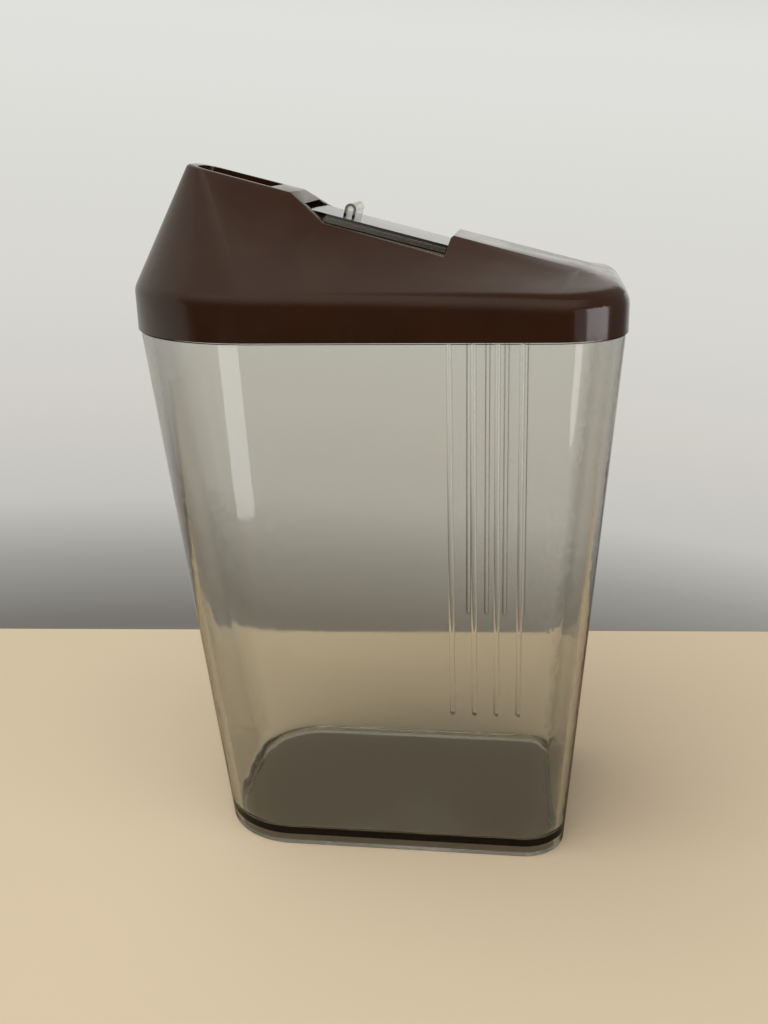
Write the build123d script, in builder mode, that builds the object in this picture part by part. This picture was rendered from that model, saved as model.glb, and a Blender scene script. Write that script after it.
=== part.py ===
"""Storage shaker container: a see-through body, an opaque lid with a pouring spout, and a clear slide.

Frame: +Z up, origin under the middle of the lid on the surface that the foot ring stands on, the spout
at -X and the photographed side at -Y. All sizes are in millimetres, and the shape is mirrored about XZ.
"""
import math
import os

from build123d import *

os.makedirs("parts", exist_ok=True)

# Body: the outline at the rim, the smaller outline at the foot, and the upright sizes.
# A flat is half of the straight stretch that the two corners of an end leave between them.
body_height = 120.0
rim_half_length = 53.3
rim_half_width = 33.1
rim_flat_spout = 1.8
rim_flat_back = 18.6
foot_half_length = 41.1
foot_half_width = 27.1
foot_flat_spout = 9.1
foot_flat_back = 17.2
foot_shift = 2.5
body_wall = 2.0
floor_thickness = 1.6
foot_ring_height = 1.6
foot_ring_width = 2.4
floor_corner_radius = 1.6

# Grip flutes, on the front and the back wall
flute_count = 4
flute_first = 18.3
flute_pitch = 4.8
flute_start_height = 37.5
flute_radius = 0.65
flute_depth = 0.4

# Lid: skirt around the body's neck, shoulder and sloped ridge
skirt_height = 9.2
skirt_wall = 1.2
lid_overhang = 0.5
seam_gap = 0.4
neck_clearance = 0.3
seat_gap = 0.3
shoulder_radius = 3.8
spout_rise = 25.59
back_rise = 1.32
ridge_setback_spout = 10.9
ridge_setback_back = 2.5
ridge_half_width_spout = 7.0
ridge_half_width_back = 10.9
ridge_radius_spout = 5.4
ridge_radius_back = 5.0

# Spout and bridge, measured along the ridge
lip_width = 1.3
tip_width = 2.2
spout_edge_radius = 0.9
spout_length = 17.7
bridge_length = 4.7
bridge_radius = 2.2
bridge_clearance = 0.85

# Window that the slide is worked through
window_start = -8.4
window_length = 26.3
window_radius = 0.7

# Slide: plate, tongue, sloping wings and finger rib
plate_depth = 2.28
plate_thickness = 1.2
plate_overhang = 0.95
plate_under_bridge = 6.1
plate_under_back = 4.1
tongue_setback = 2.2
tongue_radius = 4.0
wing_width = 3.7
wing_angle = 20.0
wing_gap_bridge = 0.6
wing_gap_back = 0.4
rib_setback = 3.6
rib_width = 2.5
rib_height = 3.0
rib_half_length = 5.5
rib_wall = 0.6
rib_stop_gap = 1.45
slide_clearance = 0.3

# Deck under the slide, the pouring hole through it and the hollow below
deck_thickness = 1.6
hole_setback = 2.2
hole_length = 14.0
hole_side = 2.2
hole_radius = 1.8
hollow_setback_back = 17.0
hollow_side_spout = 3.4
hollow_side_back = 9.6
hollow_radius = 4.0

# Levels and places that follow from the sizes above
neck_inset = skirt_wall - lid_overhang + neck_clearance
shoulder_height = body_height + skirt_height
neck_top = shoulder_height - shoulder_radius
seat_height = neck_top + seat_gap
skirt_bottom = body_height + seam_gap
ridge_start = ridge_setback_spout - rim_half_length
ridge_end = rim_half_length - ridge_setback_back
tilt = math.asin((spout_rise - back_rise) / (ridge_end - ridge_start))
ridge_height = shoulder_height + spout_rise + ridge_start * math.sin(tilt)
tongue_start = ridge_start + tip_width
bridge_start = tongue_start + spout_length
bridge_end = bridge_start + bridge_length
window_end = window_start + window_length
plate_bottom = plate_depth + plate_thickness
plate_start = window_start - plate_under_bridge
plate_end = window_end + plate_under_back
wing_start = window_start - wing_gap_bridge
wing_end = window_end - wing_gap_back
rib_place = window_start + rib_setback
slide_travel = window_end - rib_place - rib_width / 2 - rib_stop_gap
hole_start = tongue_start + hole_setback
hole_end = hole_start + hole_length
hollow_end = ridge_end - hollow_setback_back

# Frames that follow the ridge: from above, from the side, and across it
along = (math.cos(tilt), 0.0, -math.sin(tilt))
upward = (math.sin(tilt), 0.0, math.cos(tilt))
ridge_origin = (0.0, 0.0, ridge_height)
ridge_plane = Plane(origin=ridge_origin, x_dir=along, z_dir=upward)
side_plane = Plane(origin=ridge_origin, x_dir=along, z_dir=(0, -1, 0))


def across_plane(place):
    """Plane that cuts across the ridge at a place along it; it is drawn in width and height."""
    origin = (along[0] * place, 0.0, ridge_height + along[2] * place)
    return Plane(origin=origin, x_dir=(0, 1, 0), z_dir=along)


def outline(half_length, half_width, flat_spout, flat_back, centre=0.0):
    """Rounded plan outline whose spout end is rounder than its back end."""
    with Locations((centre, 0)):
        Rectangle(2 * half_length, 2 * half_width)
    fillet(vertices().group_by(Axis.X)[0], radius=half_width - flat_spout)
    fillet(vertices().group_by(Axis.X)[-1], radius=half_width - flat_back)


def rim_outline(inset):
    """Outline of the rim, taken in by an inset or let out by a negative one."""
    outline(rim_half_length - inset, rim_half_width - inset, rim_flat_spout, rim_flat_back)


def body_outline(height, inset=0.0):
    """Outline of the tapered body at a height, taken in by an inset."""
    share = height / body_height
    outline(
        foot_half_length + (rim_half_length - foot_half_length) * share - inset,
        foot_half_width + (rim_half_width - foot_half_width) * share - inset,
        foot_flat_spout + (rim_flat_spout - foot_flat_spout) * share,
        foot_flat_back + (rim_flat_back - foot_flat_back) * share,
        foot_shift * (1 - share),
    )


def tapered_outline(start, end, start_half, end_half):
    """Outline from above between two places along the ridge, wider at its back end."""
    with BuildLine() as edge_line:
        Polyline((start, -start_half), (end, -end_half), (end, end_half), (start, start_half), close=True)
    make_face(edge_line.edges())


def ridge_half_width(place):
    """Half width of the ridge at a place along it."""
    share = (place - ridge_start) / (ridge_end - ridge_start)
    return ridge_half_width_spout + (ridge_half_width_back - ridge_half_width_spout) * share


plate_half_width = ridge_half_width(plate_start) + plate_overhang
tongue_half_width = plate_half_width - tongue_setback
wing_reach = plate_half_width + wing_width
hole_half_width = tongue_half_width - hole_side


def slide_plan(clearance, travel):
    """Outline of the slide's plate and tongue from above, with the room that it needs to move."""
    plate_length = plate_end + travel - plate_start + 2 * clearance
    with Locations((plate_start - clearance + plate_length / 2, 0)):
        Rectangle(plate_length, 2 * (plate_half_width + clearance))
    tongue_length = plate_start - tongue_start
    with Locations((tongue_start - clearance + tongue_length / 2, 0)):
        Rectangle(tongue_length, 2 * (tongue_half_width + clearance))
    fillet(vertices().group_by(Axis.X)[0], radius=tongue_radius)


floor_height = foot_ring_height + floor_thickness

with BuildPart() as body:
    # Tapered outside
    with BuildSketch():
        body_outline(0)
    with BuildSketch(Plane.XY.offset(body_height)):
        body_outline(body_height)
    loft(ruled=True)
    # Neck inside the lid
    with BuildSketch(Plane.XY.offset(body_height)):
        rim_outline(neck_inset)
    extrude(amount=neck_top - body_height)
    # Inside, up to the rim and on through the neck
    with BuildSketch(Plane.XY.offset(floor_height)):
        body_outline(floor_height, body_wall)
    with BuildSketch(Plane.XY.offset(body_height)):
        body_outline(body_height, body_wall)
    loft(ruled=True, mode=Mode.SUBTRACT)
    with BuildSketch(Plane.XY.offset(body_height)):
        rim_outline(body_wall)
    extrude(amount=neck_top - body_height, mode=Mode.SUBTRACT)
    floor_edges = body.edges().filter_by_position(Axis.Z, floor_height - 0.01, floor_height + 0.01)
    fillet(floor_edges, radius=floor_corner_radius)
    # Foot ring
    with BuildSketch():
        body_outline(0, foot_ring_width)
    extrude(amount=foot_ring_height, mode=Mode.SUBTRACT)
    # Grip flutes, cut along the lean of the front and back walls
    wall_lean = (rim_half_width - foot_half_width) / body_height
    flute_axis = flute_radius - flute_depth
    flute_bottom = foot_half_width + wall_lean * flute_start_height + flute_axis
    flute_length = (body_height - flute_start_height) * math.hypot(1, wall_lean) + flute_radius
    for side in (-1, 1):
        for index in range(flute_count):
            place = (flute_first + index * flute_pitch, side * flute_bottom, flute_start_height)
            with BuildSketch(Plane(origin=place, z_dir=(0, side * wall_lean, 1))):
                Circle(flute_radius)
            extrude(amount=flute_length, mode=Mode.SUBTRACT)
            with Locations(place):
                Sphere(flute_radius, mode=Mode.SUBTRACT)

body.part.label = "container_body"
export_step(body.part, "parts/container_body.step")

# Levels that the slide and its passage share, measured down from the ridge
deck_depth = plate_bottom + slide_clearance
wing_slope = math.tan(math.radians(wing_angle))
wing_upright = plate_thickness / math.cos(math.radians(wing_angle))
wing_bottom = plate_depth + wing_width * wing_slope + wing_upright
hollow_depth = wing_bottom + slide_clearance + deck_thickness
above_lid = 3.0


def wing_section(clearance):
    """Both sloping wings across the ridge, with a clearance all round."""
    reach = wing_reach + clearance
    drop = (reach - plate_half_width) * wing_slope
    top = clearance - plate_depth
    bottom = -plate_depth - wing_upright - clearance
    with BuildLine() as edge_line:
        Polyline(
            (0, top),
            (plate_half_width, top),
            (reach, top - drop),
            (reach, bottom - drop),
            (plate_half_width, bottom),
            (0, bottom),
            close=True,
        )
    make_face(edge_line.edges())
    mirror(about=Plane.YZ)


with BuildPart() as slide:
    with BuildSketch(ridge_plane.offset(-plate_bottom)):
        slide_plan(0, 0)
    extrude(amount=plate_thickness)
    with BuildSketch(across_plane(wing_start)):
        wing_section(0)
    extrude(amount=wing_end - wing_start)
    # Hollow finger rib with a round top
    rib_stem = rib_height - rib_width / 2
    with BuildSketch(side_plane):
        with Locations((rib_place, -plate_depth + rib_stem)):
            Circle(rib_width / 2)
        with Locations((rib_place, -plate_depth + rib_stem / 2)):
            Rectangle(rib_width, rib_stem)
        with Locations((rib_place, -plate_depth + rib_stem)):
            Circle(rib_width / 2 - rib_wall, mode=Mode.SUBTRACT)
        with Locations((rib_place, -plate_depth + rib_stem / 2)):
            Rectangle(rib_width - 2 * rib_wall, rib_stem, mode=Mode.SUBTRACT)
    extrude(amount=rib_half_length, both=True)

slide.part.label = "slide"
export_step(slide.part, "parts/slide.step")

with BuildPart() as lid:
    # Upright skirt, then the hood from the shoulder up to the sloped ridge
    with BuildSketch(Plane.XY.offset(skirt_bottom)):
        rim_outline(-lid_overhang)
    extrude(amount=shoulder_height - skirt_bottom)
    with BuildSketch(Plane.XY.offset(shoulder_height)):
        rim_outline(-lid_overhang)
    with BuildSketch(ridge_plane):
        tapered_outline(ridge_start, ridge_end, ridge_half_width_spout, ridge_half_width_back)
        fillet(vertices().group_by(Axis.X)[0], radius=ridge_radius_spout)
        fillet(vertices().group_by(Axis.X)[-1], radius=ridge_radius_back)
    loft(ruled=True)
    shoulder_edges = lid.edges().filter_by_position(
        Axis.Z, shoulder_height - 0.01, shoulder_height + 0.01
    )
    fillet(shoulder_edges, radius=shoulder_radius)
    # Window, cut straight across the ridge, with the bridge's slanting end
    with BuildSketch(side_plane) as window:
        with BuildLine():
            Polyline(
                (bridge_start, above_lid),
                (bridge_start, 0),
                (bridge_end, 0),
                (window_start, -deck_depth),
                (window_end, -deck_depth),
                (window_end, 0),
                (plate_end, 0),
                (plate_end, above_lid),
                close=True,
            )
        make_face()
        top_corners = window.vertices().filter_by_position(Axis.Y, -0.01, 0.01).sort_by(Axis.X)
        fillet(top_corners[1], radius=bridge_radius)
        top_corners = window.vertices().filter_by_position(Axis.Y, -0.01, 0.01).sort_by(Axis.X)
        fillet(top_corners[-2], radius=window_radius)
    extrude(amount=rim_half_width + lid_overhang, both=True, mode=Mode.SUBTRACT)
    # Rounded rim of the spout
    spout_top = lid.faces().filter_by(ridge_plane).sort_by(Axis.Z)[-1]
    fillet(spout_top.edges().sort_by(Axis.X)[:-1], radius=spout_edge_radius)
    # Hollow underside: room for the neck, then a hollow up to the deck
    with BuildSketch(Plane.XY.offset(skirt_bottom)):
        rim_outline(skirt_wall - lid_overhang)
    extrude(amount=seat_height - skirt_bottom, mode=Mode.SUBTRACT)
    with BuildSketch(Plane.XY.offset(seat_height)):
        rim_outline(skirt_wall - lid_overhang)
    with BuildSketch(ridge_plane.offset(-hollow_depth)):
        tapered_outline(
            tongue_start,
            hollow_end,
            ridge_half_width_spout + hollow_side_spout,
            rim_half_width - hollow_side_back,
        )
        fillet(vertices(), radius=hollow_radius)
    loft(ruled=True, mode=Mode.SUBTRACT)
    # Passage that the slide runs in
    with BuildSketch(ridge_plane.offset(-deck_depth)):
        slide_plan(slide_clearance, slide_travel)
    extrude(amount=plate_thickness + 2 * slide_clearance, mode=Mode.SUBTRACT)
    with BuildSketch(across_plane(wing_start - slide_clearance)):
        wing_section(slide_clearance)
    extrude(amount=wing_end - wing_start + slide_travel + 2 * slide_clearance, mode=Mode.SUBTRACT)
    # Slot under the bridge
    with BuildSketch(ridge_plane.offset(-plate_depth)):
        tapered_outline(bridge_start, window_start, tongue_half_width, plate_half_width)
    extrude(amount=bridge_clearance, mode=Mode.SUBTRACT)
    # Spout, open above the slide, and the pouring hole through the deck
    with BuildSketch(ridge_plane.offset(-plate_depth)):
        tapered_outline(
            tongue_start,
            bridge_start,
            ridge_half_width(tongue_start) - lip_width,
            ridge_half_width(bridge_start) - lip_width,
        )
        fillet(vertices().group_by(Axis.X)[0], radius=ridge_radius_spout - lip_width)
    extrude(amount=plate_depth + above_lid, mode=Mode.SUBTRACT)
    with BuildSketch(ridge_plane.offset(-hollow_depth)):
        with Locations(((hole_start + hole_end) / 2, 0)):
            RectangleRounded(hole_end - hole_start, 2 * hole_half_width, hole_radius)
    extrude(amount=hollow_depth - plate_depth, mode=Mode.SUBTRACT)

lid.part.label = "lid"
export_step(lid.part, "parts/lid.step")
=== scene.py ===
"""Looks of the storage shaker container: smoky see-through body, dark brown lid and clear slide."""

import math

import bmesh
import bpy
from mathutils import Matrix, Vector

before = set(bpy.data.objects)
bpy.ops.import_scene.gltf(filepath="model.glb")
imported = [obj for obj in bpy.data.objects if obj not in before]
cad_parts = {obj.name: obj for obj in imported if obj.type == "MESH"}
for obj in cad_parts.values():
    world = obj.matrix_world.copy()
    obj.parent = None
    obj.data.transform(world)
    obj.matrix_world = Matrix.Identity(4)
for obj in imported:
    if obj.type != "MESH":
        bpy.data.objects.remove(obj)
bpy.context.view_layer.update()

# Camera at the photograph's place: metres and degrees, and millimetres for the lens and the sensor
camera_place = (0.035696, -0.250885, 0.157375)
camera_yaw = -8.1065
camera_pitch = 18.1228
camera_roll = 1.5197
camera_lens = 39.375
camera_sensor = 36.0
camera_nearest = 0.005

# Ranges that a value can fill, and the one that most of a noise texture lies in
whole = (0.0, 1.0)
either_way = (-1.0, 1.0)
noise_range = (0.35, 0.65)

# Brown plastic of the lid, whose bending is its index of refraction
brown_tones = ((0.3, (0.026, 0.0096, 0.0040)), (0.7, (0.034, 0.0130, 0.0056)))
brown_roughness = (0.11, 0.19)
brown_bending = 1.5
grain_height = 0.00001
grain_strength = 0.25

# See-through plastic: the tint and density of its inside, its range of roughness and its bending
body_tint = (0.50, 0.49, 0.38)
body_density = 140.0
body_roughness = (0.02, 0.06)
slide_tint = (0.44, 0.46, 0.33)
slide_density = 270.0
slide_roughness = (0.03, 0.08)
clear_bending = 1.49
wave_height = 0.00002
wave_strength = 0.15

# Painted shade on see-through plastic, darker from a straight to a grazing view, and the heights between
# which it sets in
rim_blend = 0.5
painted_rim_shade_tones = ((0.33, (0.97, 0.97, 0.965)), (0.45, (0.80, 0.80, 0.795)), (0.70, (0.62, 0.62, 0.615)))
plain_bottom = (0.004, 0.007)

# Points of the lid's mesh nearer than this are one point, and edges over this angle stay sharp
weld_distance = 0.000002
sharp_angle = 10.8

# Floor slab, whose back edge lies where the wall meets the table in the photograph
floor_half_width = 0.45
floor_front = -0.55
floor_back = 0.098
floor_turn = 3.87
floor_thickness = 0.012
floor_drop = 0.0002
floor_colour = (0.68, 0.575, 0.42)
# Painted darker reflection: the floor's colour where the object's gloss mirrors it
floor_painted_reflection = (0.27, 0.20, 0.12)
floor_roughness = 0.7
floor_gloss = 0.15

# Wall that is seen behind the object: the direction along which its tones change, and the tones, with
# painted shade that darkens it towards the floor and a painted shadow band just above the floor's back edge
wall_tilt = (0.09, 0.0, 1.0)
wall_range = (-1.037, 0.963)
wall_tones_with_painted_shade = (
    (0.0, (0.50, 0.49, 0.46)),
    (0.25, (0.45, 0.44, 0.41)),
    # Painted shadow band on the wall just above the floor's back edge, and painted shade that lightens
    # upwards from it
    (0.31, (0.175, 0.165, 0.15)),
    (0.335, (0.325, 0.32, 0.295)),
    (0.36, (0.55, 0.54, 0.505)),
    (0.40, (0.63, 0.615, 0.57)),
    (0.44, (0.675, 0.665, 0.625)),
    (0.56, (0.75, 0.755, 0.725)),
    (0.72, (0.36, 0.34, 0.31)),
    (1.0, (0.26, 0.23, 0.20)),
)

# Room that lights and mirrors in the object: its tones from below to above, side by side
room_tones = {
    "back_lit": (
        (0.304, (0.24, 0.235, 0.215)),
        (0.37, (0.55, 0.535, 0.48)),
        (0.50, (0.86, 0.85, 0.82)),
        (0.56, (0.84, 0.83, 0.80)),
        (0.62, (0.42, 0.40, 0.37)),
        (0.74, (0.46, 0.43, 0.38)),
        (0.90, (0.60, 0.56, 0.49)),
        (1.0, (0.68, 0.64, 0.56)),
    ),
    "back_dim": (
        (0.304, (0.24, 0.235, 0.215)),
        (0.37, (0.55, 0.535, 0.48)),
        (0.50, (0.86, 0.85, 0.82)),
        (0.56, (0.80, 0.79, 0.76)),
        (0.61, (0.20, 0.18, 0.16)),
        (1.0, (0.16, 0.145, 0.13)),
    ),
    "front": (
        (0.42, (0.06, 0.045, 0.035)),
        (0.55, (0.13, 0.11, 0.095)),
        (0.68, (0.36, 0.32, 0.28)),
        (0.84, (0.68, 0.62, 0.54)),
        (1.0, (0.68, 0.64, 0.56)),
    ),
    "left": (
        (0.30, (0.40, 0.38, 0.34)),
        (0.39, (0.60, 0.59, 0.54)),
        (0.45, (0.44, 0.46, 0.41)),
        (0.90, (0.50, 0.51, 0.46)),
        (1.0, (0.30, 0.28, 0.25)),
    ),
    "right": (
        (0.30, (0.15, 0.14, 0.13)),
        (0.60, (0.22, 0.20, 0.19)),
        (1.0, (0.26, 0.22, 0.19)),
    ),
}

# Where the room's sides lie: the direction that a side is reached in, and the soft edges between sides
lit_side = (-1.0, 0.2, -0.17)
lit_edge = (-0.11, 0.03)
lit_fade = (1.0, 0.6)
lit_fade_edge = (-0.25, -0.4)
left_side = (-0.36, 0.9, -0.36)
left_edge = (-0.06, 0.04)
left_fade = (1.0, 0.0)
left_fade_edge = (-0.4, -0.25)
front_edge = (-0.35, 0.0)
right_edge = (0.45, 0.75)


def camera_matrix():
    """Camera placement from a yaw, a downward pitch and a roll."""
    yaw = math.radians(camera_yaw)
    pitch = math.radians(camera_pitch)
    roll = math.radians(camera_roll)
    forward = Vector((math.sin(yaw) * math.cos(pitch), math.cos(yaw) * math.cos(pitch), -math.sin(pitch)))
    level = Vector((math.cos(yaw), -math.sin(yaw), 0.0))
    down = forward.cross(level)
    right = math.cos(roll) * level + math.sin(roll) * down
    lower = -math.sin(roll) * level + math.cos(roll) * down
    turn = Matrix((right, -lower, -forward)).transposed().to_4x4()
    return Matrix.Translation(Vector(camera_place)) @ turn


def place_camera():
    """Camera of the photograph, with plain colours as they are written."""
    data = bpy.data.cameras.new("camera")
    data.sensor_fit = "VERTICAL"
    data.sensor_height = camera_sensor
    data.lens = camera_lens
    data.clip_start = camera_nearest
    camera = bpy.data.objects.new("camera", data)
    camera.matrix_world = camera_matrix()
    bpy.context.scene.collection.objects.link(camera)
    bpy.context.scene.camera = camera
    bpy.context.scene.view_settings.view_transform = "Standard"


def new_material(name):
    """Empty node material with its tree and one Principled shader."""
    material = bpy.data.materials.new(name)
    material.use_nodes = True
    tree = material.node_tree
    tree.nodes.clear()
    output = tree.nodes.new("ShaderNodeOutputMaterial")
    shader = tree.nodes.new("ShaderNodeBsdfPrincipled")
    tree.links.new(shader.outputs["BSDF"], output.inputs["Surface"])
    return material, tree, shader


def noise(tree, scale, detail, roughness, stretch=(1.0, 1.0, 1.0)):
    """Noise in the object's own coordinates, stretched along the axes when asked."""
    place = tree.nodes.new("ShaderNodeTexCoord")
    mapping = tree.nodes.new("ShaderNodeMapping")
    mapping.inputs["Scale"].default_value = stretch
    texture = tree.nodes.new("ShaderNodeTexNoise")
    texture.inputs["Scale"].default_value = scale
    texture.inputs["Detail"].default_value = detail
    texture.inputs["Roughness"].default_value = roughness
    tree.links.new(place.outputs["Object"], mapping.inputs["Vector"])
    tree.links.new(mapping.outputs["Vector"], texture.inputs["Vector"])
    return texture.outputs["Fac"]


def spread(tree, value, target, source=noise_range):
    """Maps a value from one range to another one, and holds it there."""
    node = tree.nodes.new("ShaderNodeMapRange")
    node.inputs["From Min"].default_value = source[0]
    node.inputs["From Max"].default_value = source[1]
    node.inputs["To Min"].default_value = target[0]
    node.inputs["To Max"].default_value = target[1]
    tree.links.new(value, node.inputs["Value"])
    return node.outputs["Result"]


def reckon(tree, operation, first, second):
    """Product, difference or greater one of two values, held between 0 and 1."""
    node = tree.nodes.new("ShaderNodeMath")
    node.operation = operation
    node.use_clamp = True
    tree.links.new(first, node.inputs[0])
    tree.links.new(second, node.inputs[1])
    return node.outputs["Value"]


def part_of(tree, vector, axis):
    """One coordinate of a vector."""
    parts = tree.nodes.new("ShaderNodeSeparateXYZ")
    tree.links.new(vector, parts.inputs["Vector"])
    return parts.outputs[axis]


def tones(tree, value, stops):
    """Colours chosen by a value, from (place, colour) stops."""
    ramp = tree.nodes.new("ShaderNodeValToRGB")
    points = ramp.color_ramp.elements
    while len(points) < len(stops):
        points.new(0.5)
    for point, (place, colour) in zip(points, stops):
        point.position = place
        point.color = (*colour, 1.0)
    tree.links.new(value, ramp.inputs["Fac"])
    return ramp.outputs["Color"]


def relief(tree, shader, value, height, strength):
    """Fine bumps on a shader, with the height in metres."""
    bump = tree.nodes.new("ShaderNodeBump")
    bump.inputs["Strength"].default_value = strength
    bump.inputs["Distance"].default_value = height
    tree.links.new(value, bump.inputs["Height"])
    tree.links.new(bump.outputs["Normal"], shader.inputs["Normal"])


def brown_plastic():
    """Dark brown moulded plastic with a satin gloss, faint mottling, handling marks and a fine grain."""
    material, tree, shader = new_material("brown_moulded_plastic")
    mottle = noise(tree, scale=45.0, detail=5.0, roughness=0.6)
    tree.links.new(tones(tree, mottle, brown_tones), shader.inputs["Base Color"])
    marks = noise(tree, scale=160.0, detail=6.0, roughness=0.65, stretch=(1.0, 1.0, 0.35))
    tree.links.new(spread(tree, marks, brown_roughness), shader.inputs["Roughness"])
    shader.inputs["IOR"].default_value = brown_bending
    grain = noise(tree, scale=2600.0, detail=2.0, roughness=0.5)
    relief(tree, shader, grain, grain_height, grain_strength)
    return material


def rim_shade(tree):
    """Painted shade of see-through plastic by how steeply it is seen, darker at a grazing view, but plain
    where it lies near the floor.
    """
    facing = tree.nodes.new("ShaderNodeLayerWeight")
    facing.inputs["Blend"].default_value = rim_blend
    place = tree.nodes.new("ShaderNodeTexCoord")
    above = spread(tree, part_of(tree, place.outputs["Object"], "Z"), whole, plain_bottom)
    return tones(tree, reckon(tree, "MULTIPLY", facing.outputs["Facing"], above), painted_rim_shade_tones)


def clear_plastic(name, tint, density, roughness):
    """See-through moulded plastic that darkens with its depth, with painted shade where it is seen at a
    grazing angle, faint waves and wiping marks.
    """
    material, tree, shader = new_material(name)
    tree.links.new(rim_shade(tree), shader.inputs["Base Color"])
    shader.inputs["Transmission Weight"].default_value = 1.0
    shader.inputs["IOR"].default_value = clear_bending
    wipes = noise(tree, scale=60.0, detail=5.0, roughness=0.6, stretch=(1.0, 1.0, 0.25))
    tree.links.new(spread(tree, wipes, roughness), shader.inputs["Roughness"])
    waves = noise(tree, scale=90.0, detail=2.0, roughness=0.4)
    relief(tree, shader, waves, wave_height, wave_strength)
    depth = tree.nodes.new("ShaderNodeVolumeAbsorption")
    depth.inputs["Color"].default_value = (*tint, 1.0)
    depth.inputs["Density"].default_value = density
    output = tree.nodes["Material Output"]
    tree.links.new(depth.outputs["Volume"], output.inputs["Volume"])
    return material


def pale_floor():
    """Plain pale matt material, with a painted darker reflection where the object's gloss mirrors it."""
    material, tree, shader = new_material("pale_floor")
    path = tree.nodes.new("ShaderNodeLightPath")
    mirrored = reckon(tree, "SUBTRACT", path.outputs["Is Glossy Ray"], path.outputs["Is Transmission Ray"])
    colour = tones(tree, mirrored, ((0.0, floor_colour), (1.0, floor_painted_reflection)))
    tree.links.new(colour, shader.inputs["Base Color"])
    shader.inputs["Roughness"].default_value = floor_roughness
    shader.inputs["Specular IOR Level"].default_value = floor_gloss
    return material


def dress(node, material):
    """Gives a piece of the frame its material."""
    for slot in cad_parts[node].material_slots:
        slot.material = material


def soften(node):
    """Shades a piece of the frame smoothly across its gentle edges and sharply across the others."""
    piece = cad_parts[node]
    joined = piece.modifiers.new("joined", "WELD")
    joined.merge_threshold = weld_distance
    corners = piece.modifiers.new("corners", "EDGE_SPLIT")
    corners.split_angle = math.radians(sharp_angle)
    shading = piece.modifiers.new("shading", "WEIGHTED_NORMAL")
    shading.mode = "CORNER_ANGLE"


def build_floor():
    """Slab that the object stands on."""
    slope = math.tan(math.radians(floor_turn))
    outline = (
        (-floor_half_width, floor_front),
        (floor_half_width, floor_front),
        (floor_half_width, floor_back + floor_half_width * slope),
        (-floor_half_width, floor_back - floor_half_width * slope),
    )
    shape = bmesh.new()
    upper = [shape.verts.new((x, y, -floor_drop)) for x, y in outline]
    lower = [shape.verts.new((x, y, -floor_drop - floor_thickness)) for x, y in outline]
    shape.faces.new(upper)
    shape.faces.new(lower[::-1])
    for index in range(len(outline)):
        after = (index + 1) % len(outline)
        shape.faces.new((lower[index], lower[after], upper[after], upper[index]))
    mesh = bpy.data.meshes.new("floor")
    shape.to_mesh(mesh)
    shape.free()
    mesh.materials.append(pale_floor())
    floor = bpy.data.objects.new("floor", mesh)
    bpy.context.scene.collection.objects.link(floor)
    return floor


def soft_light(name, place, aim, size, power, colour=(1.0, 1.0, 1.0), outline="RECTANGLE", unseen_by=()):
    """Soft lamp that faces a point, and the kinds of ray that it is hidden from."""
    data = bpy.data.lights.new(name, "AREA")
    data.shape = outline
    data.size, data.size_y = size
    data.energy = power
    data.color = colour
    lamp = bpy.data.objects.new(name, data)
    lamp.location = place
    lamp.rotation_euler = (Vector(aim) - Vector(place)).to_track_quat("-Z", "Y").to_euler()
    for kind in unseen_by:
        setattr(lamp, "visible_" + kind, False)
    bpy.context.scene.collection.objects.link(lamp)


def light_stage():
    """Large soft key from above, a window with its curtain at the right, and a low strip at each side."""
    soft_light(
        "key",
        place=(-0.2, -0.25, 1.0),
        aim=(0.0, 0.0, 0.07),
        size=(1.1, 1.1),
        power=8.5,
        colour=(1.0, 0.985, 0.96),
        unseen_by=("glossy",),
    )
    soft_light(
        "window",
        place=(0.60, -0.24, 0.135),
        aim=(0.04, -0.03, 0.12),
        size=(0.42, 0.25),
        power=1.12,
        colour=(1.0, 0.92, 0.97),
        unseen_by=("camera", "transmission"),
    )
    soft_light(
        "curtain",
        place=(0.429, -0.492, 0.135),
        aim=(0.045, -0.03, 0.12),
        size=(0.21, 0.25),
        power=0.08,
        colour=(1.0, 0.93, 0.93),
        unseen_by=("camera", "transmission"),
    )
    soft_light(
        "right_strip",
        place=(0.209, -0.219, 0.036),
        aim=(0.045, -0.03, 0.08),
        size=(0.055, 0.075),
        power=0.034,
        outline="ELLIPSE",
        unseen_by=("camera", "transmission", "diffuse"),
    )
    soft_light(
        "left_strip",
        place=(-0.13, -0.196, 0.034),
        aim=(-0.035, -0.031, 0.08),
        size=(0.065, 0.07),
        power=0.047,
        unseen_by=("camera", "transmission", "diffuse"),
    )


def direction(tree):
    """Direction that a ray of the world takes."""
    return tree.nodes.new("ShaderNodeTexCoord").outputs["Generated"]


def along(tree, towards):
    """How far the direction of a ray of the world points along another one."""
    node = tree.nodes.new("ShaderNodeVectorMath")
    node.operation = "DOT_PRODUCT"
    node.inputs[1].default_value = towards
    tree.links.new(direction(tree), node.inputs[0])
    return node.outputs["Value"]


def blend(tree, share, first, second):
    """Mixes two colours."""
    mix = tree.nodes.new("ShaderNodeMix")
    mix.data_type = "RGBA"
    tree.links.new(share, mix.inputs["Factor"])
    tree.links.new(first, mix.inputs["A"])
    tree.links.new(second, mix.inputs["B"])
    return mix.outputs["Result"]


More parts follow.
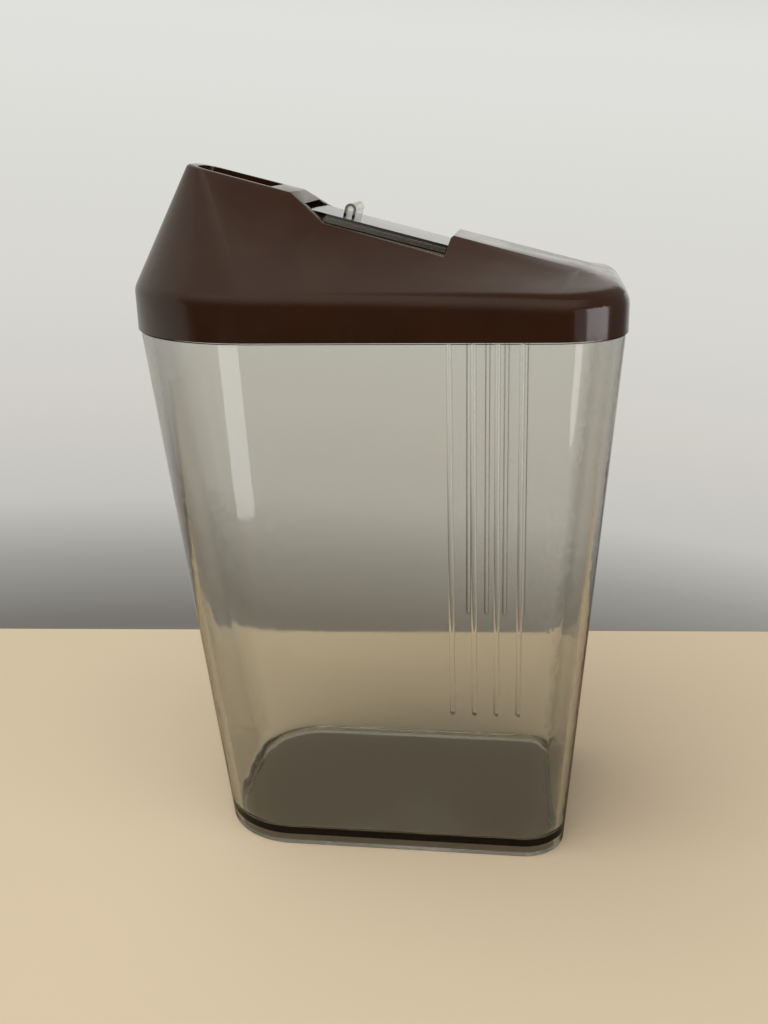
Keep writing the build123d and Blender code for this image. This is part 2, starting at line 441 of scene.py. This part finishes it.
def room_colour(sky):
    """Colour of the room in each direction, with soft edges between its sides."""
    across = part_of(sky, direction(sky), "X")
    depth = part_of(sky, direction(sky), "Y")
    height = spread(sky, part_of(sky, direction(sky), "Z"), whole, either_way)
    side = {name: tones(sky, height, stops) for name, stops in room_tones.items()}
    lit_share = spread(sky, along(sky, lit_side), whole, lit_edge)
    lit_share = reckon(sky, "MULTIPLY", lit_share, spread(sky, across, lit_fade, lit_fade_edge))
    left_share = spread(sky, along(sky, left_side), whole, left_edge)
    left_share = reckon(sky, "MULTIPLY", left_share, spread(sky, across, left_fade, left_fade_edge))
    colour = blend(sky, lit_share, side["back_dim"], side["back_lit"])
    colour = blend(sky, spread(sky, depth, whole, front_edge), side["front"], colour)
    colour = blend(sky, spread(sky, across, whole, right_edge), colour, side["right"])
    return blend(sky, left_share, colour, side["left"])


def build_room():
    """World around the stage: the wall that is seen, and the room that lights and mirrors in the object."""
    world = bpy.data.worlds.new("room")
    world.use_nodes = True
    bpy.context.scene.world = world
    sky = world.node_tree
    sky.nodes.clear()
    lit = sky.nodes.new("ShaderNodeBackground")
    sky.links.new(room_colour(sky), lit.inputs["Color"])
    seen = sky.nodes.new("ShaderNodeBackground")
    # Wall seen by the camera and through the glass, with its painted shade and painted shadow band
    wall = tones(sky, spread(sky, along(sky, wall_tilt), whole, wall_range), wall_tones_with_painted_shade)
    sky.links.new(wall, seen.inputs["Color"])
    path = sky.nodes.new("ShaderNodeLightPath")
    direct = reckon(sky, "MAXIMUM", path.outputs["Is Camera Ray"], path.outputs["Is Transmission Ray"])
    chosen = sky.nodes.new("ShaderNodeMixShader")
    sky.links.new(direct, chosen.inputs["Fac"])
    sky.links.new(lit.outputs["Background"], chosen.inputs[1])
    sky.links.new(seen.outputs["Background"], chosen.inputs[2])
    output = sky.nodes.new("ShaderNodeOutputWorld")
    sky.links.new(chosen.outputs["Shader"], output.inputs["Surface"])


place_camera()
soften("lid")
dress("container_body", clear_plastic("smoky_plastic", body_tint, body_density, body_roughness))
dress("lid", brown_plastic())
dress("slide", clear_plastic("slide_plastic", slide_tint, slide_density, slide_roughness))
floor = build_floor()
light_stage()
build_room()
